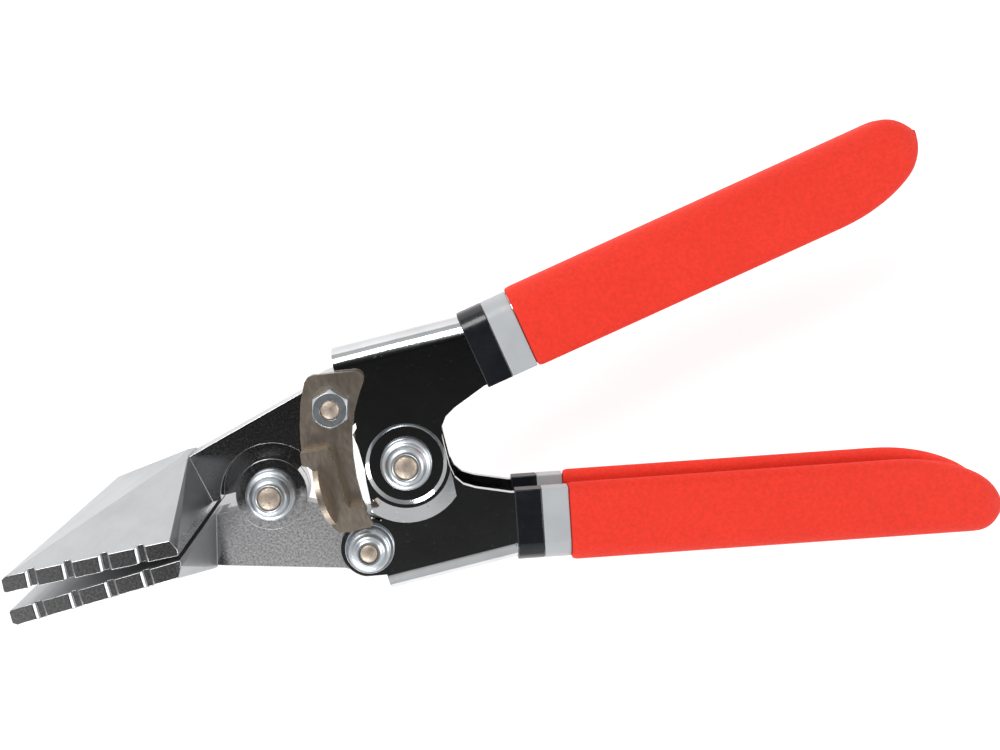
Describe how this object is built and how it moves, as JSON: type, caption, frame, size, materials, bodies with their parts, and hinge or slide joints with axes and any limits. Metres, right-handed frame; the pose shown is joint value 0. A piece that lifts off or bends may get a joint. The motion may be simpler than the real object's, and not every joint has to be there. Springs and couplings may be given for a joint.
{
  "type": "hand seamer",
  "caption": "Hand seamer: wide flat jaws driven by two channel handles with dipped grips, a sprung pivot and a swinging latch plate, for folding sheet metal seams.",
  "frame": {"origin": "centre of the bounding box's bottom, below the middle of the tool as it lies on the jaws' side ends", "axes": "+X along the centre-line from the jaws to the handles, +Z along the jaw width, +Y towards the upper handle"},
  "size_m": [0.2866, 0.1328, 0.08],
  "materials": {
    "forged_jaw": "bright textured forging with ground working faces",
    "chromed_sheet": "bright chromed pressed steel",
    "zinc": "bright zinc plate",
    "stud": "dull bronze-coloured passivated steel",
    "latch_plate": "brown nickel plate",
    "spring_steel": "oiled spring steel",
    "red_dip": "matt textured dip",
    "grey_dip": "smooth dip",
    "black_dip": "smooth dip"
  },
  "bodies": {
    "lower_handle": {"lower_handle": "chromed_sheet", "lower_black_band": "black_dip", "lower_grey_band": "grey_dip", "lower_grip": "red_dip", "handle_pivot_bolt": "stud", "handle_pivot_sleeve": "zinc", "handle_pivot_nut": "zinc", "return_spring": "spring_steel", "lower_link_bolt": "stud", "lower_link_spacer": "zinc", "lower_link_washer": "zinc", "lower_link_nut": "zinc"},
    "upper_handle": {"upper_handle": "chromed_sheet", "upper_black_band": "black_dip", "upper_grey_band": "grey_dip", "upper_grip": "red_dip", "upper_link_bolt": "stud", "upper_link_spacer": "zinc", "upper_link_nut": "zinc"},
    "lower_jaw": {"lower_jaw": "forged_jaw", "jaw_pivot_bolt": "stud", "jaw_pivot_nut": "zinc"},
    "upper_jaw": {"upper_jaw": "forged_jaw"},
    "latch": {"latch": "latch_plate"}
  },
  "joints": [
    {"name": "handle_pivot", "type": "hinge", "parent": "lower_handle", "child": "upper_handle", "pos_m": [-0.03388, 0, 0.04], "axis": [0, 0, 1], "range_deg": [-5.6, 22], "stiffness_Nm_per_rad": 0.6, "springref_deg": 51.57, "deforming": ["return_spring"]},
    {"name": "lower_link_pivot", "type": "hinge", "parent": "lower_handle", "child": "lower_jaw", "pos_m": [-0.05137, -0.0231, 0.04], "axis": [0, 0, 1], "range_deg": [-5, 19]},
    {"name": "jaw_pivot", "type": "hinge", "parent": "lower_jaw", "child": "upper_jaw", "pos_m": [-0.07717, 0, 0.04], "axis": [0, 0, -1], "range_deg": [-4.1, 16]},
    {"name": "latch_pivot", "type": "hinge", "parent": "upper_handle", "child": "latch", "pos_m": [-0.05137, 0.0231, 0.04], "axis": [0, 0, 1], "range_deg": [0, 14]}
  ],
  "couplings": [
    {"joint": "lower_link_pivot", "follows": "handle_pivot", "ratio": 0.854},
    {"joint": "jaw_pivot", "follows": "handle_pivot", "ratio": 0.708}
  ]
}
